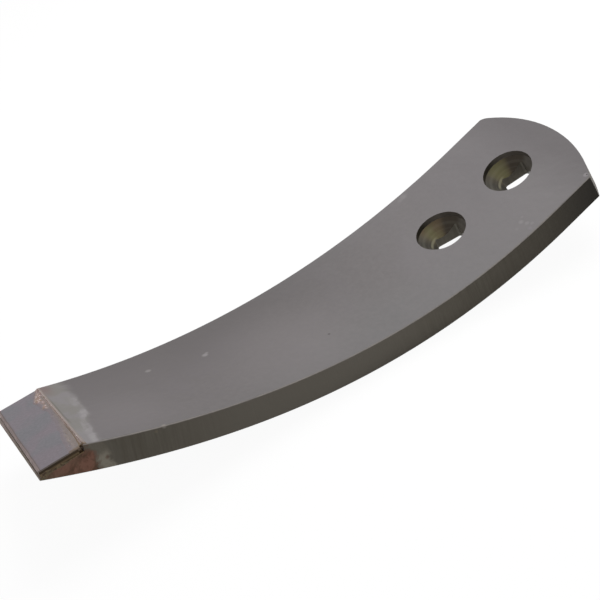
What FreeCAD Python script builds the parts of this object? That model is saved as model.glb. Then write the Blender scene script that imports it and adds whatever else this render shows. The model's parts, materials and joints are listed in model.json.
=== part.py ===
import FreeCAD, Part
import Sketcher
import math
import os

# Cultivator point: a flat steel bar, bent and twisted, that bolts to a shank with two square-neck
# countersunk bolts and carries a brazed carbide plate across its working end.
#
# The pieces are drawn in the bar's head frame: origin in the middle of the head's chord on the
# front face, +X towards the head end, +Y across the bar to its far edge, +Z out of the front face.
# Distances along the bar are counted from the chord, and grow towards the working end.

doc = FreeCAD.newDocument("cultivator_point")

# Driving sizes, in millimetres and degrees
sizes = [
    ("bar_width", 80.0),
    ("bar_thickness", 14.2),
    ("end_thickness", 11.9),
    ("bar_length", 276.5),
    ("edge_round", 0.7),
    ("head_rise", 12.7),
    ("head_corner_round", 7.0),
    ("bend_start", 23.0),
    ("bend_radius_at_head", 306.0),
    ("bend_radius_at_end", 467.0),
    ("twist_zone", 316.0),
    ("twist_per_zone", 30.3),
    ("twist_easing", 1.1),
    ("hole_to_chord", 16.9),
    ("hole_spacing", 43.5),
    ("land_diameter", 24.7),
    ("land_depth", 3.0),
    ("sink_angle", 90.0),
    ("neck_width", 13.0),
    ("neck_corner_round", 1.5),
    ("neck_turn", -15.5),
    ("neck_off_along", 2.0),
    ("neck_off_across", -1.0),
    ("seat_length", 17.9),
    ("seat_depth", 3.4),
    ("seat_slope", 19.0),
    ("plate_thickness", 2.1),
    ("plate_overhang", 0.1),
    ("end_lean", 6.0),
    ("braze_film", 0.4),
    ("joint_gap_far", 0.2),
    ("joint_gap_near", 1.7),
    ("braze_below_face", 0.3),
    ("braze_notch", 1.6),
    ("rest_pitch", -18.6),
    ("rest_roll", 4.9),
]
sheet = doc.addObject("Spreadsheet::Sheet", "Sizes")
for row, (alias, value) in enumerate(sizes, start=1):
    sheet.set(f"A{row}", alias)
    sheet.set(f"B{row}", str(value))
    sheet.setAlias(f"B{row}", alias)
doc.recompute()

ACROSS = FreeCAD.Vector(0, 1, 0)
ALONG = FreeCAD.Vector(1, 0, 0)
HOLES = 2
SECTIONS = 16
MARCH_STEPS = 120


def size(alias):
    """Value of one driving size."""
    return float(sheet.get(alias))


def bar_frame(distance):
    """Placement of the bar's front face at a distance from the head's chord.

    The head is straight. Past bend_start the bar is marched in short steps, and each step turns it
    about its own width, which is the bend, and about its own length, which is the twist.
    """
    straight = min(distance, size("bend_start"))
    frame = FreeCAD.Placement(ALONG * -straight, FreeCAD.Rotation())
    step = (distance - straight) / MARCH_STEPS
    half_step = FreeCAD.Placement(ALONG * (-step / 2), FreeCAD.Rotation())
    head_bend = 1 / size("bend_radius_at_head")
    end_bend = 1 / size("bend_radius_at_end")
    for index in range(MARCH_STEPS):
        gone = (index + 0.5) * step
        share = gone / (size("bar_length") - size("bend_start"))
        bend = step * (head_bend + (end_bend - head_bend) * share)
        zone_share = min(gone / size("twist_zone"), 1.0)
        easing = (4 * zone_share * (1 - zone_share)) ** size("twist_easing")
        twist = step / size("twist_zone") * math.radians(size("twist_per_zone")) * easing
        axis = ACROSS * bend - ALONG * twist
        turn = FreeCAD.Placement(FreeCAD.Vector(), FreeCAD.Rotation(axis, math.degrees(axis.Length)))
        frame = frame * half_step * turn * half_step
    return frame


def turned(axis, degrees):
    """Placement that only turns, about an axis through the origin."""
    return FreeCAD.Placement(FreeCAD.Vector(), FreeCAD.Rotation(axis, degrees))


def shifted(along, across, out):
    """Placement that only shifts."""
    return FreeCAD.Placement(FreeCAD.Vector(along, across, out), FreeCAD.Rotation())


# A sketch plane square to the bar has its X across the bar and its Y out of the front face
CROSS_SECTION = FreeCAD.Placement(
    FreeCAD.Vector(),
    FreeCAD.Rotation(ACROSS, FreeCAD.Vector(0, 0, 1), ALONG, "ZXY"),
)
# A sketch plane on edge has its X towards the head and its Y out of the front face
LENGTH_SECTION = turned(ALONG, 90)


def new_body(label):
    """Empty body with its label."""
    body = doc.addObject("PartDesign::Body", label)
    body.Label = label
    return body


def new_sketch(body, name, frame):
    """Empty sketch on the body's own XY plane, moved to a frame."""
    sketch = body.newObject("Sketcher::SketchObject", name)
    for feature in body.Origin.OriginFeatures:
        if feature.Role == "XY_Plane":
            sketch.AttachmentSupport = (feature, "")
    sketch.MapMode = "FlatFace"
    sketch.AttachmentOffset = frame
    return sketch


def bind(sketch, kind, places, expression):
    """Add a sized constraint and bind it to the driving sizes."""
    value = float(sheet.evalExpression(expression))
    index = sketch.addConstraint(Sketcher.Constraint(kind, *places, value))
    sketch.setExpression(f"Constraints[{index}]", expression)


def outline_sketch(body, name, frame, corners):
    """Closed outline of straight lines, with each corner bound to a pair of expressions."""
    sketch = new_sketch(body, name, frame)
    points = []
    for across, up in corners:
        x = float(sheet.evalExpression(across))
        y = float(sheet.evalExpression(up))
        points.append(FreeCAD.Vector(x, y, 0))
    for index, point in enumerate(points):
        sketch.addGeometry(Part.LineSegment(point, points[(index + 1) % len(points)]))
    for index, (across, up) in enumerate(corners):
        following = (index + 1) % len(points)
        sketch.addConstraint(Sketcher.Constraint("Coincident", index, 2, following, 1))
        if across == "0":
            sketch.addConstraint(Sketcher.Constraint("PointOnObject", index, 1, -2))
        else:
            bind(sketch, "DistanceX", (index, 1), across)
        if up == "0":
            sketch.addConstraint(Sketcher.Constraint("PointOnObject", index, 1, -1))
        else:
            bind(sketch, "DistanceY", (index, 1), up)
    return sketch


def stacked(body, name, sketches):
    """Loft through a row of section sketches."""
    loft = body.newObject("PartDesign::AdditiveLoft", name)
    loft.Profile = sketches[0]
    loft.Sections = sketches[1:]
    doc.recompute()
    return loft


def cut_through(body, name, sketch, depth, midplane=False):
    """Pocket from a sketch plane, bound to a depth, that has to take material away."""
    before = body.Shape.Volume
    pocket = body.newObject("PartDesign::Pocket", name)
    pocket.Profile = sketch
    pocket.Midplane = midplane
    pocket.setExpression("Length", depth)
    doc.recompute()
    if pocket.Shape.Volume >= before:
        raise ValueError(name + " takes nothing away")
    return pocket


def bar_blank(body):
    """Forged bar with eased long edges: a straight head, and a loft along the bend and twist.

    The head keeps its thickness. Past bend_start the bar thins evenly to end_thickness.
    """
    half = "Sizes.bar_width / 2"
    start = size("bend_start")
    formed = size("bar_length") + size("bar_thickness") / 4 - start
    loft_share = "(1 + Sizes.bar_thickness / 4 / (Sizes.bar_length - Sizes.bend_start))"
    thinning = f"(Sizes.bar_thickness - Sizes.end_thickness) * {loft_share}"
    sections = []
    for index in range(SECTIONS):
        back = f"({thinning} * {index} / {SECTIONS - 1} - Sizes.bar_thickness)"
        frame = bar_frame(start + formed * index / (SECTIONS - 1)) * CROSS_SECTION
        corners = [("-" + half, "0"), (half, "0"), (half, back), ("-" + half, back)]
        sections.append(outline_sketch(body, f"section_{index + 1}", frame, corners))
    stacked(body, "formed_bar", sections)
    back = "-Sizes.bar_thickness"
    corners = [("-" + half, "0"), (half, "0"), (half, back), ("-" + half, back)]
    head = outline_sketch(body, "head_section", bar_frame(start) * CROSS_SECTION, corners)
    blank = body.newObject("PartDesign::Pad", "straight_head")
    blank.Profile = head
    blank.setExpression("Length", "Sizes.bend_start + Sizes.head_rise + Sizes.bar_thickness / 4")
    doc.recompute()
    along_the_bar = []
    for number, edge in enumerate(blank.Shape.Edges, start=1):
        if edge.Length > size("bend_start") and abs(edge.Length - size("bar_width")) > size("edge_round"):
            along_the_bar.append(f"Edge{number}")
    eased = body.newObject("PartDesign::Fillet", "eased_edges")
    eased.Base = (blank, along_the_bar)
    eased.setExpression("Radius", "Sizes.edge_round")
    doc.recompute()


def head_end(body):
    """Curved head end, cut square to the face, with the far corner knocked round.

    The corner's round leaves the side at a slight angle, as it does where a hammer or a wheel
    made it.
    """
    rise = size("head_rise")
    half = size("bar_width") / 2
    beyond = size("bar_thickness") / 2
    corner = size("head_corner_round")
    corner_top = half + corner / 30
    radius = (half ** 2 + rise ** 2) / (2 * rise)
    centre = FreeCAD.Vector(rise - radius, 0, 0)
    corner_y = corner_top - corner
    corner_x = centre.x + math.sqrt((radius - corner) ** 2 - corner_y ** 2)
    corner_centre = FreeCAD.Vector(corner_x, corner_y, 0)
    start = -math.asin((half + beyond) / radius)
    meet = math.atan2(corner_y, corner_x - centre.x)
    normal = FreeCAD.Vector(0, 0, 1)
    outer = [
        FreeCAD.Vector(corner_x, corner_top, 0),
        FreeCAD.Vector(corner_x, half + beyond, 0),
        FreeCAD.Vector(rise + beyond, half + beyond, 0),
        FreeCAD.Vector(rise + beyond, -half - beyond, 0),
        FreeCAD.Vector(centre.x + radius * math.cos(start), -half - beyond, 0),
    ]
    above = shifted(0, 0, size("bar_thickness"))
    sketch = new_sketch(body, "head_outline", above)
    sketch.addGeometry(Part.ArcOfCircle(Part.Circle(centre, normal, radius), start, meet))
    sketch.addGeometry(Part.ArcOfCircle(Part.Circle(corner_centre, normal, corner), meet, math.pi / 2))
    for first, second in zip(outer, outer[1:]):
        sketch.addGeometry(Part.LineSegment(first, second))
    sketch.addConstraint(Sketcher.Constraint("Tangent", 0, 2, 1, 1))
    sketch.addConstraint(Sketcher.Constraint("Vertical", 1, 3, 1, 2))
    for index in range(1, 5):
        sketch.addConstraint(Sketcher.Constraint("Coincident", index, 2, index + 1, 1))
    sketch.addConstraint(Sketcher.Constraint("Coincident", 5, 2, 0, 1))
    for index, kind in enumerate(["Vertical", "Horizontal", "Vertical", "Horizontal"], start=2):
        sketch.addConstraint(Sketcher.Constraint(kind, index))
    sketch.addConstraint(Sketcher.Constraint("PointOnObject", 0, 3, -1))
    end_radius = "(Sizes.bar_width ^ 2 / 4 + Sizes.head_rise ^ 2) / (2 * Sizes.head_rise)"
    bind(sketch, "Radius", (0,), end_radius)
    bind(sketch, "DistanceX", (0, 3), f"Sizes.head_rise - {end_radius}")
    bind(sketch, "Radius", (1,), "Sizes.head_corner_round")
    bind(sketch, "DistanceY", (1, 2), "Sizes.bar_width / 2 + Sizes.head_corner_round / 30")
    bind(sketch, "DistanceY", (3, 1), "(Sizes.bar_width + Sizes.bar_thickness) / 2")
    bind(sketch, "DistanceX", (4, 1), "Sizes.head_rise + Sizes.bar_thickness / 2")
    bind(sketch, "DistanceY", (5, 1), "-(Sizes.bar_width + Sizes.bar_thickness) / 2")
    cut_through(body, "head_cut", sketch, "3 * Sizes.bar_thickness")


def rounded_square(body, name, frame, half, corner):
    """Closed square outline about the frame's origin, with its corners rounded."""
    sketch = new_sketch(body, name, frame)
    side = float(sheet.evalExpression(half))
    radius = float(sheet.evalExpression(corner))
    inner = side - radius
    normal = FreeCAD.Vector(0, 0, 1)
    for quarter in range(4):
        spin = FreeCAD.Rotation(normal, 90 * quarter)
        start = spin * FreeCAD.Vector(-inner, -side, 0)
        end = spin * FreeCAD.Vector(inner, -side, 0)
        centre = spin * FreeCAD.Vector(inner, -inner, 0)
        angle = math.pi / 2 * (quarter - 1)
        sketch.addGeometry(Part.LineSegment(start, end))
        arc = Part.ArcOfCircle(Part.Circle(centre, normal, radius), angle, angle + math.pi / 2)
        sketch.addGeometry(arc)
    for index in range(8):
        following = (index + 1) % 8
        sketch.addConstraint(Sketcher.Constraint("Tangent", index, 2, following, 1))
    sides = [
        ("Horizontal", "DistanceY", "-"),
        ("Vertical", "DistanceX", ""),
        ("Horizontal", "DistanceY", ""),
        ("Vertical", "DistanceX", "-"),
    ]
    for quarter, (lie, kind, sign) in enumerate(sides):
        sketch.addConstraint(Sketcher.Constraint(lie, 2 * quarter))
        bind(sketch, kind, (2 * quarter, 1), sign + half)
        bind(sketch, "Radius", (2 * quarter + 1,), corner)
    return sketch


def bolt_seat(body, number):
    """Seat for a flat-head square-neck bolt: a round land, a countersink and a square neck.

    The neck sits a little off the countersink's centre, as it was punched.
    """
    distance = size("hole_to_chord") + (number - 1) * size("hole_spacing")
    frame = bar_frame(distance)
    rim = "Sizes.land_diameter / 2"
    floor = "0.3 * Sizes.neck_width"
    sink = f"({rim} - {floor}) / tan(Sizes.sink_angle / 2)"
    corners = [
        ("0", "Sizes.land_depth"),
        (rim, "Sizes.land_depth"),
        (rim, "-Sizes.land_depth"),
        (floor, f"-Sizes.land_depth - {sink}"),
        ("0", f"-Sizes.land_depth - {sink}"),
    ]
    sketch = outline_sketch(body, f"bolt_head_{number}", frame * LENGTH_SECTION, corners)
    before = body.Shape.Volume
    groove = body.newObject("PartDesign::Groove", f"bolt_sink_{number}")
    groove.Profile = sketch
    groove.ReferenceAxis = (sketch, ["V_Axis"])
    groove.Angle = 360
    doc.recompute()
    if groove.Shape.Volume >= before:
        raise ValueError("the countersink takes nothing away")
    neck_place = shifted(size("neck_off_along"), size("neck_off_across"), 0)
    neck_frame = frame * neck_place * turned(FreeCAD.Vector(0, 0, 1), size("neck_turn"))
    half = "Sizes.neck_width / 2"
    corner = "Sizes.neck_corner_round"
    neck = rounded_square(body, f"neck_square_{number}", neck_frame, half, corner)
    cut_through(body, f"neck_hole_{number}", neck, "2 * Sizes.bar_thickness")


def step_frame():
    """Frame on the face at the step where the plate's seat begins."""
    return bar_frame(size("bar_length") - size("seat_length"))


def seat_frame():
    """Frame on the seat's floor, at the foot of the step, with X up the slope."""
    return step_frame() * shifted(0, 0, -size("seat_depth")) * turned(ACROSS, -size("seat_slope"))


def plate_seat(body):
    """Sloping seat milled across the working end for the plate."""
    beyond = "(Sizes.seat_length + Sizes.bar_thickness)"
    corners = [
        ("0", "Sizes.bar_thickness"),
        ("0", "-Sizes.seat_depth"),
        (f"-{beyond}", f"-Sizes.seat_depth - {beyond} * tan(Sizes.seat_slope)"),
        (f"-{beyond}", "Sizes.bar_thickness"),
    ]
    sketch = outline_sketch(body, "seat_outline", step_frame() * LENGTH_SECTION, corners)
    cut_through(body, "seat_cut", sketch, "2 * Sizes.bar_width", midplane=True)


def working_end(body):
    """End face under the plate, cut so that its lower edge leans out past the plate."""
    lean = "tan(Sizes.end_lean)"
    floor = "(Sizes.seat_depth + Sizes.seat_length * tan(Sizes.seat_slope))"
    below = "2 * Sizes.bar_thickness"
    corners = [
        (f"{floor} * {lean}", "0"),
        (f"({floor} - {below}) * {lean}", f"-{below}"),
        ("-Sizes.bar_thickness", f"-{below}"),
        ("-Sizes.bar_thickness", "0"),
    ]
    frame = bar_frame(size("bar_length")) * LENGTH_SECTION
    sketch = outline_sketch(body, "end_outline", frame, corners)
    cut_through(body, "end_cut", sketch, "2 * Sizes.bar_width", midplane=True)


def point_body():
    """The steel bar."""
    body = new_body("point_body")
    bar_blank(body)
    head_end(body)
    for number in range(1, HOLES + 1):
        bolt_seat(body, number)
    plate_seat(body)
    working_end(body)
    return body


def pad(body, name, sketch, height):
    """Pad from a sketch plane, bound to a height."""
    feature = body.newObject("PartDesign::Pad", name)
    feature.Profile = sketch
    feature.setExpression("Length", height)
    doc.recompute()


PLATE_FRONT = "(-Sizes.seat_length / cos(Sizes.seat_slope) - Sizes.plate_overhang)"


def carbide_plate():
    """Flat plate on its film of braze, a little askew: its back edge nears the step at the far side."""
    body = new_body("carbide_plate")
    half = "Sizes.bar_width / 2"
    corners = [
        ("-Sizes.joint_gap_far", half),
        (PLATE_FRONT, half),
        (PLATE_FRONT, "-" + half),
        ("-Sizes.joint_gap_near", "-" + half),
    ]
    frame = seat_frame() * shifted(0, 0, size("braze_film"))
    pad(body, "plate", outline_sketch(body, "plate_outline", frame, corners), "Sizes.plate_thickness")
    return body


def braze_seam():
    """Braze: a film under the plate, and the filling between the step and the plate's back edge.

    The filling ends short of the near side, and leaves a small notch there.
    """
    body = new_body("braze_seam")
    half = "Sizes.bar_width / 2"
    film = [("0", half), (PLATE_FRONT, half), (PLATE_FRONT, "-" + half), ("0", "-" + half)]
    pad(body, "film", outline_sketch(body, "film_outline", seat_frame(), film), "Sizes.braze_film")
    rise = "(Sizes.seat_depth - Sizes.braze_below_face)"
    plate_top = "Sizes.braze_film + Sizes.plate_thickness"
    taper = "(Sizes.joint_gap_near - Sizes.joint_gap_far) / Sizes.bar_width"
    near_gap = f"(Sizes.joint_gap_near - Sizes.braze_notch * {taper})"
    sections = []
    for side, across, gap in [
        ("far", size("bar_width") / 2, "Sizes.joint_gap_far"),
        ("near", size("braze_notch") - size("bar_width") / 2, near_gap),
    ]:
        frame = seat_frame() * shifted(0, across, 0) * LENGTH_SECTION
        corners = [
            ("0", "0"),
            (f"{rise} * sin(Sizes.seat_slope)", f"{rise} * cos(Sizes.seat_slope)"),
            (f"-{gap}", plate_top),
            (f"-{gap}", "0"),
        ]
        sections.append(outline_sketch(body, f"filling_{side}", frame, corners))
    stacked(body, "filling", sections)
    return body


def rest(bodies):
    """Lay the point on its convex back, centred over the origin with its lowest point at zero."""
    lean = turned(ALONG, size("rest_roll")) * turned(ACROSS, size("rest_pitch"))
    whole = Part.makeCompound([body.Shape for body in bodies])
    whole.Placement = lean
    box = whole.optimalBoundingBox(False, False)
    place = shifted(-box.Center.x, -box.Center.y, -box.ZMin) * lean
    for body in bodies:
        body.Placement = place
    doc.recompute()


bodies = [point_body(), carbide_plate(), braze_seam()]
rest(bodies)

for item in doc.Objects:
    if "Invalid" in item.State or "Error" in item.State:
        raise ValueError(f"{item.Label} failed: {item.State}")
for body in bodies:
    if body.Shape.isNull() or not body.Shape.isValid():
        raise ValueError(f"{body.Label} has no valid shape")
    if len(body.Shape.Solids) != 1:
        raise ValueError(f"{body.Label} is not one solid")

os.makedirs("parts", exist_ok=True)
for body in bodies:
    body.Shape.exportStep(f"parts/{body.Label}.step")
    print(body.Label, len(body.Shape.Solids), "solid", round(body.Shape.Volume, 1), "mm3")
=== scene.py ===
import json
import math
import bpy
import numpy as np
from mathutils import Matrix, Vector


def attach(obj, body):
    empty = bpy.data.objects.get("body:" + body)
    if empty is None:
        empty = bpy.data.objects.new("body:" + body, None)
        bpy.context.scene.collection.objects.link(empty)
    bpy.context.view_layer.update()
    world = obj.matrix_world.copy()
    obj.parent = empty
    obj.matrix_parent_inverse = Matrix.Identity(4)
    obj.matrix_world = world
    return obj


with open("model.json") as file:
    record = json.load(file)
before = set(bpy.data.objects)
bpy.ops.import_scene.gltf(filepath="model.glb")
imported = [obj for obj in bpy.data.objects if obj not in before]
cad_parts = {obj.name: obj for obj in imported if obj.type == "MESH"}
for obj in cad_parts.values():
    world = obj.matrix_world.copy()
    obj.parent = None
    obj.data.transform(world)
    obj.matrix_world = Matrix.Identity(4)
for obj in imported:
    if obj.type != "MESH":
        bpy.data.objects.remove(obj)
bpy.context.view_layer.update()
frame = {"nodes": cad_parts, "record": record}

# Camera: a short telephoto a little over half a metre away, above the near side of the working end
# and rolled, as the point is photographed.
camera_place = Vector((-0.145712, -0.406592, 0.306476))
camera_look = Vector((0.27211, 0.79215, -0.54631))
camera_up = Vector((0.47899, 0.38089, 0.79088))
camera_data = bpy.data.cameras.new("camera")
camera_data.lens = 68.07
camera_data.sensor_width = 36.0
camera = bpy.data.objects.new("camera", camera_data)
bpy.context.scene.collection.objects.link(camera)
camera_back = -camera_look.normalized()
camera_right = camera_up.cross(camera_back).normalized()
camera_top = camera_back.cross(camera_right)
camera_turn = Matrix((camera_right, camera_top, camera_back)).transposed()
camera.matrix_world = Matrix.Translation(camera_place) @ camera_turn.to_4x4()
bpy.context.scene.camera = camera

# Light: one soft box above the head end and a little behind it, so that the front face is lit evenly
# and the near side is left in half shade, in an even pale room that shows plain white.
lamp_place = Vector((0.42, 0.26, 0.72))
lamp_data = bpy.data.lights.new("soft_box", "AREA")
lamp_data.shape = "SQUARE"
lamp_data.size = 0.6
lamp_data.energy = 5.5
soft_box = bpy.data.objects.new("soft_box", lamp_data)
bpy.context.scene.collection.objects.link(soft_box)
soft_box.location = lamp_place
soft_box.rotation_euler = lamp_place.to_track_quat("Z", "Y").to_euler()

room_light = 0.27
room_white = (1.0, 1.0, 1.0, 1.0)
room_tint = (1.0, 0.99, 0.98, 1.0)


def seen_by(tree, path):
    """One for a ray from the camera, in a reflection or through glass, and nothing for the rest."""
    seen = path.outputs["Is Camera Ray"]
    for ray in ("Is Glossy Ray", "Is Transmission Ray"):
        either = tree.nodes.new("ShaderNodeMath")
        either.operation = "MAXIMUM"
        tree.links.new(seen, either.inputs[0])
        tree.links.new(path.outputs[ray], either.inputs[1])
        seen = either.outputs[0]
    return seen


room = bpy.data.worlds.new("room")
bpy.context.scene.world = room
room.use_nodes = True
room_tree = room.node_tree
room_tree.nodes.clear()
room_path = room_tree.nodes.new("ShaderNodeLightPath")
room_seen = room_tree.nodes.new("ShaderNodeBackground")
room_seen.inputs["Color"].default_value = room_white
room_seen.inputs["Strength"].default_value = 1.0
room_lit = room_tree.nodes.new("ShaderNodeBackground")
room_lit.inputs["Color"].default_value = room_tint
room_lit.inputs["Strength"].default_value = room_light
room_mix = room_tree.nodes.new("ShaderNodeMixShader")
room_out = room_tree.nodes.new("ShaderNodeOutputWorld")
room_tree.links.new(seen_by(room_tree, room_path), room_mix.inputs[0])
room_tree.links.new(room_lit.outputs[0], room_mix.inputs[1])
room_tree.links.new(room_seen.outputs[0], room_mix.inputs[2])
room_tree.links.new(room_mix.outputs[0], room_out.inputs[0])

# Floor: a wide sheet of white card. Most of it is seen as plain white, and the rest of it keeps the
# point's soft shadow.
floor_half = 3.0
floor_white = 0.82
shadow_kept = 0.10
floor_glow_strength = 1.05
floor_mesh = bpy.data.meshes.new("floor")
floor_corners = [
    (-floor_half, -floor_half, 0.0),
    (floor_half, -floor_half, 0.0),
    (floor_half, floor_half, 0.0),
    (-floor_half, floor_half, 0.0),
]
floor_mesh.from_pydata(floor_corners, [], [(0, 1, 2, 3)])
floor = bpy.data.objects.new("floor", floor_mesh)
bpy.context.scene.collection.objects.link(floor)
floor_finish = bpy.data.materials.new("white_card")
floor_finish.use_nodes = True
floor_tree = floor_finish.node_tree
floor_tree.nodes.clear()
floor_path = floor_tree.nodes.new("ShaderNodeLightPath")
floor_share = floor_tree.nodes.new("ShaderNodeMath")
floor_share.operation = "MULTIPLY"
floor_share.inputs[1].default_value = 1.0 - shadow_kept
floor_card = floor_tree.nodes.new("ShaderNodeBsdfDiffuse")
floor_card.inputs["Color"].default_value = (floor_white, floor_white, floor_white, 1.0)
floor_glow = floor_tree.nodes.new("ShaderNodeEmission")
floor_glow.inputs["Color"].default_value = room_white
floor_glow.inputs["Strength"].default_value = floor_glow_strength
floor_mix = floor_tree.nodes.new("ShaderNodeMixShader")
floor_out = floor_tree.nodes.new("ShaderNodeOutputMaterial")
floor_tree.links.new(seen_by(floor_tree, floor_path), floor_share.inputs[0])
floor_tree.links.new(floor_share.outputs[0], floor_mix.inputs[0])
floor_tree.links.new(floor_card.outputs[0], floor_mix.inputs[1])
floor_tree.links.new(floor_glow.outputs[0], floor_mix.inputs[2])
floor_tree.links.new(floor_mix.outputs[0], floor_out.inputs[0])
floor_mesh.materials.append(floor_finish)

# Steel bar: rolled flat bar, forged to its bend and twist and cut to length. The front face keeps a
# thin even mill scale. The sheared sides are darker and lined across the thickness, and the seats are
# countersunk and punched. Brazing has left a brushed, heat-tinted zone behind the plate.
to_head = Vector((1.0, 0.0, 0.0))
to_far_side = Vector((0.0, 1.0, 0.0))
upward = Vector((0.0, 0.0, 1.0))
origin = Vector((0.0, 0.0, 0.0))
step_place = Vector((-0.123672, 0.002850, 0.035075))
step_along = Vector((0.948, -0.042, -0.315))
step_across = Vector((-0.023, 0.980, -0.199))


def display(red, green, blue):
    """A colour given as display values from 0 to 255, as the renderer's linear values."""
    shades = []
    for value in (red, green, blue):
        share = value / 255
        shades.append(share / 12.92 if share <= 0.04045 else ((share + 0.055) / 1.055) ** 2.4)
    return (*shades, 1.0)


def plug_in(tree, socket, value):
    """Link a node's output to a socket, or set the socket to a plain value."""
    if isinstance(value, bpy.types.NodeSocket):
        tree.links.new(value, socket)
    else:
        socket.default_value = value


def calc(tree, operation, first, second=0.0, third=0.0):
    """One step of arithmetic on two or three numbers."""
    node = tree.nodes.new("ShaderNodeMath")
    node.operation = operation
    for socket, value in zip(node.inputs, (first, second, third)):
        plug_in(tree, socket, value)
    return node.outputs[0]


def times(tree, *amounts):
    """Product of several amounts."""
    result = amounts[0]
    for amount in amounts[1:]:
        result = calc(tree, "MULTIPLY", result, amount)
    return result


def wander(tree, value, pattern, reach):
    """A value moved by a pattern, by half of a reach up or down."""
    return calc(tree, "MULTIPLY_ADD", calc(tree, "SUBTRACT", pattern, 0.5), reach, value)


def vector_step(tree, operation, first, second):
    """One step of arithmetic on two vectors. A length takes the first alone."""
    node = tree.nodes.new("ShaderNodeVectorMath")
    node.operation = operation
    plug_in(tree, node.inputs[0], first)
    plug_in(tree, node.inputs[1], second)
    gives_number = operation in ("DOT_PRODUCT", "DISTANCE", "LENGTH")
    return node.outputs["Value" if gives_number else "Vector"]


def along(tree, vector, direction, start):
    """Distance of a point along a direction, counted from a start."""
    reached = vector_step(tree, "DOT_PRODUCT", vector, direction)
    return calc(tree, "SUBTRACT", reached, start.dot(direction))


def scaled(tree, vector, factors):
    """A place stretched by its own factor in each direction."""
    return vector_step(tree, "MULTIPLY", vector, factors)


def rise(tree, value, low, high, start=0.0, end=1.0, curve="SMOOTHSTEP"):
    """A smooth change from start to end as a value goes from low to high."""
    node = tree.nodes.new("ShaderNodeMapRange")
    node.interpolation_type = curve
    plug_in(tree, node.inputs["Value"], value)
    plug_in(tree, node.inputs["From Min"], low)
    plug_in(tree, node.inputs["From Max"], high)
    node.inputs["To Min"].default_value = start
    node.inputs["To Max"].default_value = end
    return node.outputs["Result"]


def fall(tree, value, low, high):
    """A smooth change from one to nothing as a value goes from low to high."""
    return rise(tree, value, low, high, 1.0, 0.0)


def band(tree, value, middle, half, soft):
    """One inside a band about a middle value, falling smoothly to nothing outside it."""
    return fall(tree, calc(tree, "ABSOLUTE", calc(tree, "SUBTRACT", value, middle)), half, half + soft)


def spot(tree, vector, place, radius, soft):
    """One within a radius of a place, falling smoothly to nothing outside it."""
    return fall(tree, vector_step(tree, "DISTANCE", vector, place), radius, radius + soft)


def clouds(tree, vector, scale, detail=3.0, roughness=0.5, distortion=0.0):
    """Soft random pattern between nothing and one."""
    node = tree.nodes.new("ShaderNodeTexNoise")
    plug_in(tree, node.inputs["Vector"], vector)
    node.inputs["Scale"].default_value = scale
    node.inputs["Detail"].default_value = detail
    node.inputs["Roughness"].default_value = roughness
    node.inputs["Distortion"].default_value = distortion
    return node.outputs["Fac"]


def mixed(tree, amount, under, over):
    """One colour laid over another by an amount."""
    node = tree.nodes.new("ShaderNodeMix")
    node.data_type = "RGBA"
    plug_in(tree, node.inputs["Factor"], amount)
    plug_in(tree, node.inputs["A"], under)
    plug_in(tree, node.inputs["B"], over)
    return node.outputs["Result"]


def layered(tree, colour, *layers):
    """A colour with others laid over it in turn, each given as its amount and its colour."""
    for amount, over in layers:
        colour = mixed(tree, amount, colour, over)
    return colour


def relief(tree, height, depth, under=None):
    """Bump of a depth in metres, over another bump if there is one."""
    node = tree.nodes.new("ShaderNodeBump")
    node.inputs["Strength"].default_value = 1.0
    node.inputs["Distance"].default_value = depth
    plug_in(tree, node.inputs["Height"], height)
    if under is not None:
        plug_in(tree, node.inputs["Normal"], under)
    return node.outputs["Normal"]


def new_finish(name, shine):
    """Empty finish with a strength of shine: its tree, surface shader and object coordinates."""
    finish = bpy.data.materials.new(name)
    finish.use_nodes = True
    tree = finish.node_tree
    surface = tree.nodes["Principled BSDF"]
    surface.inputs["Specular IOR Level"].default_value = shine
    place = tree.nodes.new("ShaderNodeTexCoord").outputs["Object"]
    return finish, tree, surface, place


def normal_of(tree):
    """The way that the surface faces."""
    return tree.nodes.new("ShaderNodeNewGeometry").outputs["Normal"]


def dress(node_name, finish):
    """Give one of the part's solids its finish."""
    solid = frame["nodes"][node_name]
    solid.data.materials.clear()
    solid.data.materials.append(finish)


steel, tree, surface, place = new_finish("forged_steel", 0.12)
facing = normal_of(tree)
x = along(tree, place, to_head, origin)
y = along(tree, place, to_far_side, origin)
z = along(tree, place, upward, origin)
facing_x = along(tree, facing, to_head, origin)
facing_y = along(tree, facing, to_far_side, origin)
facing_z = along(tree, facing, upward, origin)
sideways = calc(tree, "ABSOLUTE", facing_y)

# Front and back faces: even grey scale with slow warm, violet and green shifts, with painted shade
# towards the far side, the tip and the head end, and painted light towards the near side and the head
slow = clouds(tree, place, 16.0, 4.0, 0.55, 0.4)
slower = clouds(tree, scaled(tree, place, (0.6, 1.0, 1.0)), 9.0, 2.0, 0.5)
fine = clouds(tree, place, 420.0, 3.0, 0.6)
warm_scale, violet_scale = display(121, 117, 117), display(129, 125, 127)
middle_place, pale_tip_place = Vector((-0.022, -0.012, 0.013)), Vector((-0.103, -0.016, 0.030))
greenish = rise(tree, slower, 0.4, 0.66, 0.0, 0.5)
grainy = rise(tree, fine, 0.3, 0.75, 0.0, 0.35)
# Painted shade towards the far side, the tip and the head end, and painted light towards the near side
# and the head. The two paler spots are patches in the scale.
shade_painted_far = times(tree, fall(tree, x, -0.07, 0.09), rise(tree, y, -0.03, 0.045), 0.75)
light_painted_near = times(tree, rise(tree, x, 0.055, 0.11), fall(tree, y, -0.03, 0.012), 0.65)
paler_middle = times(tree, spot(tree, place, middle_place, 0.008, 0.042), 0.5)
paler_tip = times(tree, spot(tree, place, pale_tip_place, 0.006, 0.022), 0.45)
shade_painted_tip = rise(tree, x, -0.125, 0.02, 0.6, 0.0)
light_painted_head = times(tree, rise(tree, x, -0.005, 0.075), 0.42)
shade_painted_end = times(tree, rise(tree, x, 0.108, 0.140), 0.8)
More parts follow.
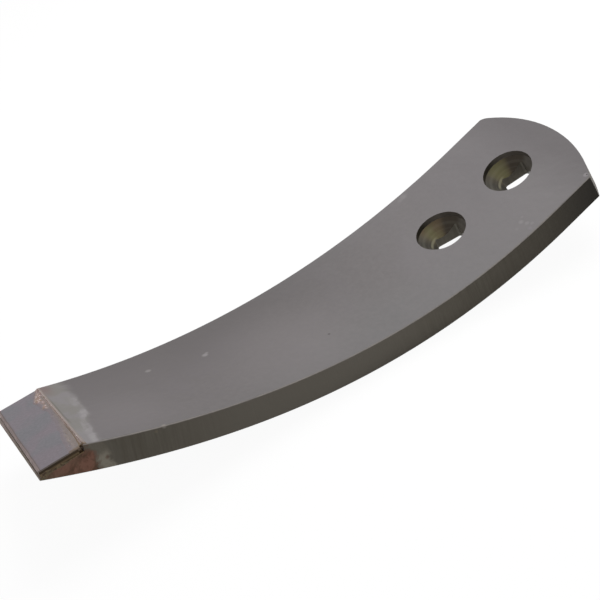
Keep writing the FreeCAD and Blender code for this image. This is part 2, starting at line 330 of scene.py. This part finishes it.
scale_grey_and_painted_light = layered(
    tree,
    mixed(tree, rise(tree, slow, 0.36, 0.64), warm_scale, violet_scale),
    (greenish, display(122, 122, 121)),
    (grainy, display(137, 133, 133)),
    (shade_painted_far, display(103, 99, 98)),
    (light_painted_near, display(142, 138, 139)),
    (paler_middle, display(140, 135, 136)),
    (paler_tip, display(140, 135, 136)),
    (shade_painted_tip, display(112, 107, 108)),
    (light_painted_head, display(146, 142, 143)),
    (shade_painted_end, display(118, 114, 115)),
)

# Sheared sides: dark and olive, with fine lines across the thickness that lean with the bar, and
# painted shade that darkens them towards the head end
line_lean = 2.4
line_stretch = (1.0, 1.0, 0.06)
line_place = tree.nodes.new("ShaderNodeCombineXYZ")
tree.links.new(times(tree, x, calc(tree, "MULTIPLY_ADD", z, line_lean, 1.0)), line_place.inputs[0])
tree.links.new(z, line_place.inputs[2])
line_vector = scaled(tree, line_place.outputs[0], line_stretch)
lines = clouds(tree, line_vector, 700.0, 4.0, 0.65)
long_lines = clouds(tree, line_vector, 160.0, 3.0, 0.6)
blotches = clouds(tree, place, 55.0, 4.0, 0.6, 0.6)
side_tone_and_shade = layered(
    tree,
    mixed(tree, rise(tree, lines, 0.3, 0.7), display(103, 98, 88), display(113, 108, 98)),
    (rise(tree, long_lines, 0.45, 0.7, 0.0, 0.3), display(98, 91, 79)),
    (rise(tree, blotches, 0.5, 0.72, 0.0, 0.5), display(118, 113, 104)),
    (band(tree, x, -0.025, 0.025, 0.06), display(119, 114, 105)),
    # Painted shade: the sides darken towards the head end
    (rise(tree, x, 0.03, 0.12, 0.0, 0.75), display(78, 73, 65)),
    (rise(tree, x, 0.095, 0.140, 0.0, 0.9), display(32, 29, 26)),
)
end_grey = mixed(tree, rise(tree, lines, 0.3, 0.7), display(64, 62, 58), display(76, 73, 69))
on_long_side = rise(tree, sideways, 0.80, 0.95)
on_head_end = times(tree, rise(tree, facing_x, 0.35, 0.6), rise(tree, x, 0.10, 0.115))
on_side = calc(tree, "MAXIMUM", on_long_side, on_head_end)

# Eased long edges: a painted highlight along the near side and painted shade along the far side,
# broken up by a pattern
edge_breakup = clouds(tree, place, 90.0, 3.0, 0.6)
eased = times(
    tree,
    rise(tree, sideways, 0.28, 0.42),
    fall(tree, sideways, 0.78, 0.92),
    rise(tree, edge_breakup, 0.25, 0.6, 0.45, 1.0),
    rise(tree, facing_z, 0.0, 0.3),
)
# Painted highlight on the near edge, painted shade on the far edge
edge_highlight_and_shade = mixed(tree, rise(tree, facing_y, -0.1, 0.1), display(158, 152, 146), display(92, 89, 88))
base = layered(tree, scale_grey_and_painted_light, (on_long_side, side_tone_and_shade), (on_head_end, end_grey), (eased, edge_highlight_and_shade))

# Bolt seats: turned countersinks with fine tool rings, and square necks punched through. Each seat is
# toned by the direction round its own axis, counted in degrees from the head end towards the far side:
# this tone is painted light and shade.
seat_reach = 0.0125
seat_fade = 0.0002
neck_top = (-0.0025, -0.0015)
arc_radius, arc_half, arc_soft = 0.0071, 0.0002, 0.0005
# Directions of the painted highlight fan, the painted shade, the painted pale side and the painted
# highlight arc
highlight_to, dark_to, pale_to, arc_to = 90, 33, -24, 128
# Painted shade: the neck's grey, set for each seat
neck_shades = {"bolt_seat_head": 116, "bolt_seat_bar": 138}
in_seat = 0.0
ring_height = 0.0


def from_axis(tree, vector, start, axis):
    """Distance of a point from an axis: the length of its offset's cross product with the axis."""
    offset = vector_step(tree, "SUBTRACT", vector, start)
    return vector_step(tree, "LENGTH", vector_step(tree, "CROSS_PRODUCT", offset, axis), origin)


def toward(tree, vector, start, axis, radius, degrees):
    """Cosine of the angle between a point and a direction, both taken round an axis."""
    across_x = (to_head - axis * axis.x).normalized()
    across_y = axis.cross(across_x)
    way = across_x * math.cos(math.radians(degrees)) + across_y * math.sin(math.radians(degrees))
    return calc(tree, "DIVIDE", along(tree, vector, way, start), radius)


for mount in frame["record"]["mounts"]:
    if not mount["name"].startswith("bolt_seat"):
        continue
    mount_place = Vector(mount["pos_m"])
    mount_axis = Vector(mount["axis"]).normalized()
    out = along(tree, place, mount_axis, mount_place)
    radius = from_axis(tree, place, mount_place, mount_axis)
    face_out = along(tree, facing, mount_axis, origin)
    this_seat = times(
        tree,
        fall(tree, radius, seat_reach, seat_reach + seat_fade),
        fall(tree, face_out, 0.86, 0.96),
        rise(tree, face_out, -0.9, -0.8),
    )
    in_seat = calc(tree, "MAXIMUM", in_seat, this_seat)

    # Tool rings, by the distance from the axis alone
    ring_place = tree.nodes.new("ShaderNodeCombineXYZ")
    tree.links.new(radius, ring_place.inputs[0])
    rings = clouds(tree, ring_place.outputs[0], 620.0, 2.0, 0.6)
    turned_cone = times(tree, this_seat, rise(tree, face_out, 0.3, 0.6))
    ring_height = calc(tree, "ADD", ring_height, times(tree, turned_cone, rings))

    # Cone: grey, with painted shade towards its shaded sides, a fan of painted olive highlight, a
    # painted pale side and a painted highlight arc by the neck
    toward_highlight = toward(tree, place, mount_place, mount_axis, radius, highlight_to)
    toward_dark = toward(tree, place, mount_place, mount_axis, radius, dark_to)
    toward_pale = toward(tree, place, mount_place, mount_axis, radius, pale_to)
    toward_arc = toward(tree, place, mount_place, mount_axis, radius, arc_to)
    in_highlight_fan = wander(tree, toward_highlight, blotches, 0.25)
    shaded = wander(tree, toward_dark, blotches, 0.35)
    on_arc = band(tree, radius, arc_radius, arc_half, arc_soft)
    arc = times(tree, on_arc, rise(tree, toward_arc, 0.78, 0.98), 0.45)
    olive_highlight = mixed(tree, rise(tree, blotches, 0.4, 0.62), display(138, 133, 98), display(130, 113, 90))
    cone_colour = layered(
        tree,
        mixed(tree, rise(tree, shaded, 0.2, 0.95), display(112, 105, 91), display(84, 76, 66)),
        (rise(tree, shaded, 0.15, -0.45), display(82, 79, 73)),
        (rise(tree, toward_pale, 0.72, 0.98), display(122, 117, 110)),
        (rise(tree, in_highlight_fan, 0.78, 1.0), olive_highlight),
        (rise(tree, rings, 0.5, 0.62, 0.0, 0.09), display(60, 56, 46)),
        (rise(tree, rings, 0.4, 0.5, 0.07, 0.0), display(190, 188, 172)),
        (arc, display(196, 190, 162)),
    )

    # Walls: the round land at the top, with painted shade on its shaded side, and the punched neck below
    # it, whose grey is a painted shade set for each seat
    shade = neck_shades[mount["name"]]
    darker_neck = display(shade - 6, shade - 11, shade - 22)
    paler_neck = display(shade + 5, shade, shade - 11)
    neck_colour = mixed(tree, rise(tree, lines, 0.3, 0.7), darker_neck, paler_neck)
    # Painted shade: the land darkens towards its shaded side
    land_colour = mixed(tree, rise(tree, shaded, 0.2, 0.9), display(66, 62, 54), display(120, 114, 107))
    wall_colour = mixed(tree, rise(tree, out, *neck_top), neck_colour, land_colour)
    seat_colour = mixed(tree, rise(tree, face_out, 0.2, 0.5), wall_colour, cone_colour)
    base = mixed(tree, this_seat, base, seat_colour)

# Heat-tinted zone: brushed paler back to an uneven edge about ten millimetres behind the joint. u is
# the distance behind the step, and v the distance across the bar towards the far side.
u = along(tree, place, step_along, step_place)
v = along(tree, place, step_across, step_place)
zone_near, zone_far = 0.0072, 0.0118
zone_turn = (-0.033, 0.004)
zone_wave = 0.006
patch_place = Vector((-0.1182, -0.0074, 0.0290))
ragged = clouds(tree, scaled(tree, place, (1.0, 0.55, 1.0)), 120.0, 3.0, 0.5, 0.5)
wisps = clouds(tree, scaled(tree, place, (1.0, 0.6, 1.0)), 330.0, 3.0, 0.55, 0.6)
front_only = times(tree, rise(tree, facing_z, 0.5, 0.7), fall(tree, sideways, 0.5, 0.7))
zone_line = rise(tree, v, *zone_turn, zone_near, zone_far, "SMOOTHERSTEP")
zone_edge = wander(tree, zone_line, ragged, zone_wave)
zone_depth = calc(tree, "SUBTRACT", zone_edge, u)
in_zone = times(tree, rise(tree, zone_depth, -0.0020, 0.0030), front_only, 0.8)
brushed = mixed(tree, rise(tree, ragged, 0.4, 0.6), display(138, 135, 131), display(144, 140, 141))
pale_rim = times(
    tree,
    band(tree, zone_depth, 0.0022, 0.0008, 0.0018),
    front_only,
    rise(tree, ragged, 0.38, 0.6),
    fall(tree, v, 0.012, 0.02),
    rise(tree, wisps, 0.35, 0.62, 0.45, 1.0),
    0.85,
)
inner_patch = times(
    tree,
    spot(tree, scaled(tree, place, (1.0, 0.45, 1.0)), patch_place, 0.0005, 0.0045),
    front_only,
    rise(tree, ragged, 0.3, 0.6, 0.3, 0.7),
)
pink_corner = times(tree, front_only, rise(tree, v, 0.020, 0.036), fall(tree, u, 0.002, 0.0075), 0.85)
tan_ridge = times(tree, front_only, fall(tree, u, 0.0008, 0.0014), rise(tree, ragged, 0.3, 0.55))
# A darker line on the face just past the ridge
dark_line_at = calc(tree, "MULTIPLY_ADD", fall(tree, v, -0.022, 0.0), 0.0008, 0.0013)
dark_line_span = times(tree, rise(tree, v, -0.018, -0.008), fall(tree, v, 0.014, 0.026))
dark_line_by_ridge = times(tree, front_only, band(tree, u, dark_line_at, 0.00015, 0.0006), dark_line_span, 0.45)
base = layered(
    tree,
    base,
    (in_zone, brushed),
    (pale_rim, display(158, 154, 155)),
    (inner_patch, display(118, 114, 108)),
    (pink_corner, display(130, 113, 111)),
    (tan_ridge, display(146, 134, 126)),
    (dark_line_by_ridge, display(98, 92, 82)),
)

# Near and far sides at the joint: copper drawn over the steel, then a pale fluxed patch. The limits of
# both wander with the patterns and lean with the height.
lean_level = 0.0315
speck_place = Vector((-0.1169, -0.0382, 0.0330))
patchy = clouds(tree, place, 210.0, 4.0, 0.65, 0.8)
side_x = wander(tree, wander(tree, x, blotches, 0.012), patchy, 0.008)
side_x = calc(tree, "MULTIPLY_ADD", calc(tree, "SUBTRACT", z, lean_level), 0.12, side_x)
copper_cast = times(tree, on_side, fall(tree, side_x, -0.1212, -0.1186), 0.9)
copper_tone = layered(
    tree,
    mixed(tree, rise(tree, patchy, 0.35, 0.6), display(150, 108, 92), display(118, 84, 68)),
    (rise(tree, blotches, 0.45, 0.66, 0.0, 0.3), display(126, 112, 92)),
    (rise(tree, patchy, 0.58, 0.72), display(88, 68, 54)),
    (rise(tree, side_x, -0.142, -0.135, 0.85, 0.0), display(124, 114, 92)),
)
flux_patch = times(
    tree,
    on_side,
    band(tree, side_x, -0.1168, 0.0014, 0.0026),
    rise(tree, z, 0.0335, 0.0375, 1.0, 0.25),
    rise(tree, patchy, 0.32, 0.5, 0.45, 1.0),
    0.85,
)
flux_speck = times(tree, on_side, spot(tree, place, speck_place, 0.0002, 0.0011), 0.6)
olive_tip = times(tree, on_side, fall(tree, side_x, -0.1425, -0.1385))
base = layered(
    tree,
    base,
    (copper_cast, copper_tone),
    (flux_patch, display(164, 157, 143)),
    (flux_speck, display(104, 76, 62)),
    (olive_tip, display(122, 112, 86)),
)

# Marks of handling: place, radius, soft edge, colour and strength of each
marks = (
    # Pale dents on the face
    (Vector((-0.07897, 0.01961, 0.02027)), 0.0006, 0.0014, display(146, 142, 141), 0.8),
    (Vector((-0.05343, 0.01285, 0.01698)), 0.0006, 0.0014, display(156, 152, 153), 0.8),
    (Vector((-0.05210, 0.01420, 0.01680)), 0.0003, 0.0010, display(150, 146, 147), 0.7),
    # Scuff by the far edge, and a dark fleck
    (Vector((0.07540, 0.03590, 0.02440)), 0.0006, 0.0020, display(152, 148, 149), 0.75),
    (Vector((0.07290, 0.03520, 0.02375)), 0.0004, 0.0016, display(146, 142, 143), 0.7),
    (Vector((-0.00431, -0.01721, 0.01411)), 0.0002, 0.0007, display(88, 84, 84), 0.8),
    # Scuffs by the near edge beside the head
    (Vector((0.09608, -0.03148, 0.02433)), 0.0003, 0.0014, display(158, 154, 155), 0.7),
    (Vector((0.09714, -0.03450, 0.02438)), 0.0003, 0.0012, display(158, 154, 155), 0.65),
    (Vector((0.09835, -0.03662, 0.02455)), 0.0002, 0.0012, display(156, 152, 153), 0.55),
    (Vector((0.09589, -0.03799, 0.02373)), 0.0002, 0.0012, display(152, 146, 152), 0.5),
    (Vector((0.09832, -0.02965, 0.02512)), 0.0002, 0.0009, display(154, 150, 151), 0.5),
    (Vector((0.09233, -0.03292, 0.02314)), 0.0002, 0.0012, display(152, 148, 149), 0.4),
    # Pitted dent at the near corner of the head
    (Vector((0.12960, -0.03930, 0.03460)), 0.0006, 0.0010, display(160, 156, 158), 0.8),
    (Vector((0.12995, -0.03960, 0.03475)), 0.0002, 0.0004, display(84, 80, 78), 0.9),
    # Nicks in the near edge
    (Vector((-0.09137, -0.03767, 0.03170)), 0.0004, 0.0010, display(160, 154, 147), 0.8),
    (Vector((-0.09516, -0.03800, 0.03150)), 0.0002, 0.0009, display(128, 120, 104), 0.7),
)
for mark_place, mark_radius, mark_soft, mark_colour, mark_strength in marks:
    mark = times(tree, spot(tree, place, mark_place, mark_radius, mark_soft), mark_strength)
    base = mixed(tree, mark, base, mark_colour)

# Cut end under the plate: purple-brown heat tint
end_cut = times(tree, fall(tree, facing_x, -0.7, -0.5), fall(tree, x, -0.141, -0.139))
end_tone = mixed(tree, rise(tree, ragged, 0.4, 0.62), display(170, 150, 144), display(140, 126, 112))
base = mixed(tree, end_cut, base, end_tone)
tree.links.new(base, surface.inputs["Base Color"])

# Gloss and relief: duller on the sheared sides, smoother and brighter in the turned seats
gloss = rise(tree, slow, 0.3, 0.7, 0.50, 0.60)
gloss = calc(tree, "ADD", gloss, times(tree, on_side, 0.12))
gloss = calc(tree, "SUBTRACT", gloss, times(tree, in_seat, 0.2))
tree.links.new(gloss, surface.inputs["Roughness"])
tree.links.new(calc(tree, "MULTIPLY_ADD", in_seat, 0.13, 0.02), surface.inputs["Metallic"])
bumps = relief(tree, slow, 0.0012)
bumps = relief(tree, fine, 0.00005, bumps)
bumps = relief(tree, times(tree, on_side, lines), 0.00009, bumps)
bumps = relief(tree, ring_height, 0.00005, bumps)
tree.links.new(bumps, surface.inputs["Normal"])
dress("point_body", steel)

# Carbide plate: pressed and sintered, ground flat, violet-grey, and brazed on the seat. Its front edge
# is ground back in a strip, and its sides and near edge are dark with scale from the brazing.
seat_along = Vector((0.9997, 0.0240, 0.0045))
seat_across = Vector((-0.0230, 0.9800, -0.1990))
seat_out = Vector((-0.0092, 0.1988, 0.9800))
plate_corner = Vector((-0.142876, -0.036986, 0.042245))
strip_width = 0.0011
carbide, tree, surface, place = new_finish("sintered_carbide", 0.12)
facing = normal_of(tree)
tint = clouds(tree, place, 60.0, 3.0, 0.5, 0.5)
grain = clouds(tree, place, 900.0, 2.0, 0.6)
streak = clouds(tree, scaled(tree, place, (1.0, 0.12, 0.4)), 900.0, 3.0, 0.6)
from_front = along(tree, place, seat_along, plate_corner)
from_near = along(tree, place, seat_across, plate_corner)
from_top = along(tree, place, seat_out, plate_corner)
front_wave = wander(tree, from_front, tint, 0.0008)
near_wave = wander(tree, from_near, tint, 0.0012)
violet_grey, blue_grey = display(129, 120, 127), display(124, 123, 128)
strip_tone = mixed(tree, rise(tree, streak, 0.35, 0.65), display(124, 110, 108), display(146, 130, 127))
strip_line = times(tree, band(tree, front_wave, strip_width, 0.00012, 0.00022), 0.75)
brown_line = times(tree, band(tree, from_top, -0.0014, 0.0002, 0.0004), 0.8)
side_scale = mixed(tree, rise(tree, tint, 0.4, 0.6), display(66, 54, 40), display(86, 70, 52))
side_scale = mixed(tree, brown_line, side_scale, display(122, 104, 78))
front_tint = mixed(tree, rise(tree, tint, 0.4, 0.6), display(176, 158, 154), display(158, 138, 130))
tone = layered(
    tree,
    mixed(tree, rise(tree, tint, 0.38, 0.62), violet_grey, blue_grey),
    (rise(tree, grain, 0.35, 0.7, 0.0, 0.3), display(147, 141, 147)),
    (rise(tree, front_wave, 0.0003, 0.0024, 0.5, 0.0), display(128, 112, 112)),
    (fall(tree, from_front, 0.0010, 0.0012), strip_tone),
    (strip_line, display(100, 88, 86)),
    (rise(tree, near_wave, 0.0010, 0.0017, 0.92, 0.0), display(62, 50, 38)),
    (fall(tree, along(tree, facing, upward, origin), 0.4, 0.8), side_scale),
    (rise(tree, along(tree, facing, -to_head, origin), 0.6, 0.8), front_tint),
)
tree.links.new(tone, surface.inputs["Base Color"])
tree.links.new(rise(tree, tint, 0.3, 0.7, 0.42, 0.52), surface.inputs["Roughness"])
surface.inputs["Metallic"].default_value = 0.02
tree.links.new(relief(tree, grain, 0.00003, relief(tree, tint, 0.0003)), surface.inputs["Normal"])
dress("carbide_plate", carbide)

# Braze seam: copper alloy drawn between the plate and its seat, dulled by flux and heat, and browner
# towards the near side, where the seam is wide.
braze, tree, surface, place = new_finish("braze_alloy", 0.3)
swirl = clouds(tree, place, 220.0, 4.0, 0.6, 1.2)
speck = clouds(tree, place, 900.0, 3.0, 0.6)
across = along(tree, place, step_across, step_place)
warm = layered(
    tree,
    mixed(tree, rise(tree, swirl, 0.35, 0.65), display(122, 104, 96), display(134, 116, 104)),
    (rise(tree, speck, 0.5, 0.7, 0.0, 0.5), display(104, 84, 72)),
    (fall(tree, across, -0.014, -0.004), display(118, 96, 70)),
)
tree.links.new(warm, surface.inputs["Base Color"])
tree.links.new(rise(tree, swirl, 0.3, 0.7, 0.38, 0.6), surface.inputs["Roughness"])
surface.inputs["Metallic"].default_value = 0.15
tree.links.new(relief(tree, swirl, 0.0003), surface.inputs["Normal"])
dress("braze_seam", braze)

# Braze skin: the alloy that wetted out of the joint, over the plate's back edge and up the step. It
# lies a few tenths of a millimetre thick, with a lumpy bead at the far side and a crack at the near.
# Over the seat, u runs back along the bar, v across it to the far side and w out of the face.
millimetre = 0.001
seat_place = Vector((-0.124749, 0.002184, 0.031919))
half_width = 0.040
plate_top = 0.0025
gap_far = 0.0002
gap_near = 0.0017
filling_u = 0.00101
filling_w = 0.00293
ridge_u = 0.001107
ridge_w = 0.003215
face_fall = 0.3443
skin_shape = (110, 360)
skin_reach = (-0.0070, 0.0024)
skin_width = (-0.0397, 0.0396)
skin_depth = 0.0011
skin_sink = 0.00004
edge_v = np.array([-39.7, -30.0, -20.0, -10.5, 1.5, 10.0, 16.5, 27.0, 33.5, 39.5]) * millimetre
edge_u = np.array([-5.3, -5.0, -4.2, -2.9, -2.3, -1.7, -3.0, -4.3, -3.2, -1.4]) * millimetre
edge_wave = 0.0003
edge_wavelength = 0.008
film = 0.00012
film_rise = 0.0016
film_ripple = 0.0042
lump_ripple = 0.0017
lip_place = 0.0013
lip_reach = 0.0005
lip_height = 0.00007
lip_ripple = 0.003
step_cover = 0.00020
crack_depth = 0.0009
crack_edge = 0.00012


def swell(u, v, length, seed):
    """Smooth random height, mostly from -1 to 1: the sum of twelve waves of about a length, over five.

    Each wave runs its own way, and is from 0.6 to 1.7 times the length.
    """
    chance = np.random.default_rng(seed)
    total = np.zeros(np.broadcast(u, v).shape)
    for _ in range(12):
        turn = chance.uniform(0, 2 * np.pi)
        number = 2 * np.pi / (length * chance.uniform(0.6, 1.7))
        total += np.sin(number * (u * np.cos(turn) + v * np.sin(turn)) + chance.uniform(0, 2 * np.pi))
    return total / 5


def ease(value, low, high):
    """Smooth change from nothing to one as a value goes from low to high."""
    share = np.clip((value - low) / (high - low), 0, 1)
    return share * share * (3 - 2 * share)


def bare_joint(u, v):
    """Height over the seat of the plate's top, the filling behind it, and the face past the ridge.

    Level on the plate, straight up the filling, a short rise to the ridge, and then the falling face.
    """
    gap = gap_near + (gap_far - gap_near) * (v + half_width) / (2 * half_width)
    filling = plate_top + (filling_w - plate_top) * (u + gap) / (filling_u + gap)
    wall = filling_w + (ridge_w - filling_w) * (u - filling_u) / (ridge_u - filling_u)
    face = ridge_w - face_fall * (u - ridge_u)
    height = np.where(u < -gap, plate_top, filling)
    height = np.where(u > filling_u, wall, height)
    return np.where(u > ridge_u, face, height)


def placed(u, v, w):
    """Points of the part from distances along, across and out of the seat."""
    u, v, w = np.broadcast_arrays(u, v, w)
    axes = np.array([seat_along, seat_across, seat_out])
    return np.array(seat_place) + np.stack([u, v, w], axis=-1) @ axes


def closed_sheet(name, top, under, finish, **shares):
    """Solid sheet between two grids of points: both grids, and a strip round their shared border.

    Each share is a number for each point of the grids, kept under its own name for the finish.
    """
    rows, columns = top.shape[:2]
    number = np.arange(rows * columns).reshape(rows, columns)
    top_faces = np.stack([number[:-1, :-1], number[1:, :-1], number[1:, 1:], number[:-1, 1:]], axis=-1)
    under_faces = top_faces[..., ::-1] + rows * columns
    rim = np.concatenate([number[:, 0], number[-1, 1:], number[-2::-1, -1], number[0, -2:0:-1]])
    ahead = np.roll(rim, -1)
    rim_faces = np.stack([ahead, rim, rim + rows * columns, ahead + rows * columns], axis=-1)
    faces = np.concatenate([top_faces.reshape(-1, 4), under_faces.reshape(-1, 4), rim_faces])
    points = np.concatenate([top.reshape(-1, 3), under.reshape(-1, 3)])
    mesh = bpy.data.meshes.new(name)
    mesh.from_pydata(points.tolist(), [], faces.tolist())
    mesh.polygons.foreach_set("use_smooth", np.ones(len(faces), dtype=bool))
    for share_name, share in shares.items():
        attribute = mesh.attributes.new(share_name, "FLOAT", "POINT")
        attribute.data.foreach_set("value", np.concatenate([share.ravel(), share.ravel()]))
    mesh.materials.append(finish)
    piece = bpy.data.objects.new(name, mesh)
    bpy.context.scene.collection.objects.link(piece)
    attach(piece, "root")
    return piece


skin_u = np.linspace(*skin_reach, skin_shape[0])[:, None]
skin_v = np.linspace(*skin_width, skin_shape[1])[None, :]


def hump(middle_u, middle_v, reach_u, reach_v):
    """Bell over a place of the skin, all in millimetres: e to the minus squared distance in reaches."""
    away_u = (skin_u / millimetre - middle_u) / reach_u
    away_v = (skin_v / millimetre - middle_v) / reach_v
    return np.exp(-(away_u ** 2 + away_v ** 2))


# Film and lumps: a thin film that thickens behind its wavy front, with lumps and small pits
inside = skin_u - np.interp(skin_v, edge_v, edge_u)
inside = inside + edge_wave * swell(skin_u, skin_v, edge_wavelength, 5)
thickness = film * ease(inside, 0.0, film_rise) * (1 + 0.5 * swell(skin_u, skin_v, film_ripple, 7))
lumps = (
    (-2.2, 26.5, 1.6, 3.4, 0.40),
    (-1.6, 16.0, 1.2, 2.6, 0.32),
    (-0.7, 31.5, 1.4, 3.0, 0.40),
    (0.1, 37.2, 1.0, 1.8, 0.25),
    (-0.6, 21.5, 0.9, 2.6, 0.22),
    (1.1, 34.5, 1.0, 2.4, 0.22),
    (1.5, -38.9, 0.9, 1.0, 0.42),
)
lump_grain = 1 + 0.4 * swell(skin_u, skin_v, lump_ripple, 9)
for lump_u, lump_v, reach_u, reach_v, lump_height in lumps:
    lump = lump_height * millimetre * hump(lump_u, lump_v, reach_u, reach_v)
    thickness = thickness + lump * lump_grain
pit_reach_u, pit_reach_v, pit_depth = 0.35, 0.7, 0.3
for pit_u, pit_v in ((-1.5, -21.0), (-1.7, -28.3), (-3.2, -33.0)):
    thickness = thickness - pit_depth * millimetre * hump(pit_u, pit_v, pit_reach_u, pit_reach_v)

# Lip along the ridge, a cover on the step under it, and the crack, which widens to the near side
lip_grain = 1 + 0.7 * swell(skin_u, skin_v, lip_ripple, 3)
lip = np.exp(-(((skin_u - lip_place) / lip_reach) ** 2)) * lip_grain
thickness = thickness * ease(skin_u, 0.0022, 0.0008) + lip_height * lip
thickness = thickness + step_cover * ease(skin_u, 0.0005, 0.0010) * ease(-skin_u, -0.0015, -0.0011)
near_v = -skin_v
crack_hair, crack_wider, crack_mouth = 0.00005, 0.00009, 0.0004
crack_place, crack_drift, crack_waver = 0.00050, 0.0005, 0.00008
crack_half = crack_hair + crack_wider * ease(near_v, 0.016, 0.034)
crack_half = crack_half + crack_mouth * ease(near_v, 0.0355, 0.0392)
crack_line = crack_place - crack_drift * ease(near_v, 0.024, 0.038)
crack_line = crack_line + crack_waver * swell(0.0, skin_v, 0.006, 13)
in_crack = crack_half - np.abs(skin_u - crack_line)
cracked = ease(in_crack, -crack_edge, crack_edge) * ease(near_v, 0.009, 0.018)
thickness = thickness - crack_depth * cracked
edge_fade = ease(inside, -0.0002, 0.0003) * ease(0.0024 - skin_u, 0.0, 0.0009)
near_fade = ease(skin_v, skin_width[0] - 0.0003, skin_width[0] + 0.0005)
far_fade = ease(-skin_v, -skin_width[1], -0.0384)
ends_fade = near_fade * far_fade
raised = (thickness + skin_sink) * edge_fade * ends_fade - skin_sink
base_height = bare_joint(skin_u, skin_v)
skin_top = placed(skin_u, skin_v, base_height + raised)
skin_under = placed(skin_u, skin_v, base_height - skin_depth)
full_cover = 0.0005
cover = np.clip(raised / full_cover, 0, 1)
behind_front = ease(inside, 0.0002, 0.0036)


def share_of(tree, name):
    """A number that the mesh keeps under a name."""
    node = tree.nodes.new("ShaderNodeAttribute")
    node.attribute_name = name
    return node.outputs["Fac"]


skin_finish, tree, surface, place = new_finish("braze_skin", 0.3)
swirl = clouds(tree, place, 260.0, 4.0, 0.6, 1.0)
speck = clouds(tree, place, 800.0, 3.0, 0.65)
thick = share_of(tree, "cover")
behind = wander(tree, share_of(tree, "behind_front"), swirl, 0.5)
across = along(tree, place, seat_across, seat_place)
# Painted light: the step wall that faces back towards the plate is lightened against its shade
wall_painted_light = times(tree, rise(tree, along(tree, normal_of(tree), -seat_along, origin), 0.25, 0.7), 0.85)
film_tone = layered(
    tree,
    mixed(tree, rise(tree, swirl, 0.35, 0.65), display(136, 125, 121), display(144, 132, 127)),
    (rise(tree, speck, 0.58, 0.78, 0.0, 0.5), display(108, 92, 84)),
)
# Painted highlights: pale pink glints over the copper
copper = layered(
    tree,
    mixed(tree, rise(tree, swirl, 0.4, 0.62), display(156, 130, 124), display(144, 120, 104)),
    (rise(tree, speck, 0.52, 0.64, 0.0, 0.9), display(222, 205, 205)),
)
near_brown = mixed(tree, rise(tree, swirl, 0.4, 0.6), display(84, 72, 56), display(112, 92, 72))
skin_tone = layered(
    tree,
    mixed(tree, rise(tree, behind, 0.2, 0.95), display(131, 121, 125), film_tone),
    (wall_painted_light, display(192, 168, 158)),
    (rise(tree, thick, 0.32, 0.75), copper),
    (rise(tree, across, -0.0388, -0.0368, 0.85, 0.0), near_brown),
    (share_of(tree, "crack"), display(62, 48, 38)),
)
tree.links.new(skin_tone, surface.inputs["Base Color"])
tree.links.new(rise(tree, thick, 0.2, 0.9, 0.55, 0.40), surface.inputs["Roughness"])
tree.links.new(rise(tree, thick, 0.2, 0.9, 0.06, 0.2), surface.inputs["Metallic"])
tree.links.new(relief(tree, speck, 0.00008, relief(tree, swirl, 0.0003)), surface.inputs["Normal"])
skin_shares = {"cover": cover, "crack": cracked, "behind_front": behind_front}
skin = closed_sheet("braze_skin", skin_top, skin_under, skin_finish, **skin_shares)

# Squeezed-out braze: a low bead that ran out from under the plate along the near side, brown with
# scale and flux, thickest at the front corner.
bead_shape = (120, 20)
bead_front = -0.0191
bead_back = -0.0045
bead_thickness = 0.00030
bead_root = 0.0003
bead_u = np.linspace(bead_front, bead_back, bead_shape[0])[:, None]
bead_share = np.linspace(0.0, 1.0, bead_shape[1])[None, :]
to_back = ease(bead_u, bead_front, bead_back)
low_front, low_rise, low_waver = -0.0009, 0.0008, 0.0002
high_front, high_drop, high_waver = 0.0015, 0.0011, 0.0003
bead_low = low_front + low_rise * to_back + low_waver * swell(bead_u, 0.0, 0.005, 21)
bead_high = high_front - high_drop * to_back + high_waver * swell(bead_u, 0.0, 0.004, 22)
bead_w = bead_low + (bead_high - bead_low) * bead_share
bead_bulge = bead_thickness * np.sin(np.pi * bead_share) ** 0.7 * (1 - 0.6 * to_back)
bead_grain = 1 + 0.5 * swell(bead_u, bead_w, 0.0025, 23)
bead_bulge = bead_bulge * bead_grain * ease(-bead_u, -bead_back, 0.0065)
bead_bulge = bead_bulge * ease(bead_u, bead_front, -0.0187)
bead_out = placed(bead_u, -half_width - bead_bulge, bead_w)
bead_in = placed(bead_u, -half_width + bead_root, bead_w)
bead_finish, tree, surface, place = new_finish("scaled_braze", 0.3)
scale_noise = clouds(tree, place, 300.0, 4.0, 0.65, 0.8)
bead_tone = layered(
    tree,
    mixed(tree, rise(tree, scale_noise, 0.35, 0.65), display(104, 92, 68), display(128, 108, 82)),
    (rise(tree, clouds(tree, place, 700.0), 0.5, 0.7), display(74, 58, 44)),
)
tree.links.new(bead_tone, surface.inputs["Base Color"])
tree.links.new(rise(tree, scale_noise, 0.3, 0.7, 0.45, 0.65), surface.inputs["Roughness"])
surface.inputs["Metallic"].default_value = 0.08
tree.links.new(relief(tree, scale_noise, 0.0002), surface.inputs["Normal"])
side_bead = closed_sheet("side_bead", bead_out, bead_in, bead_finish)

bpy.context.scene.view_settings.view_transform = "Standard"
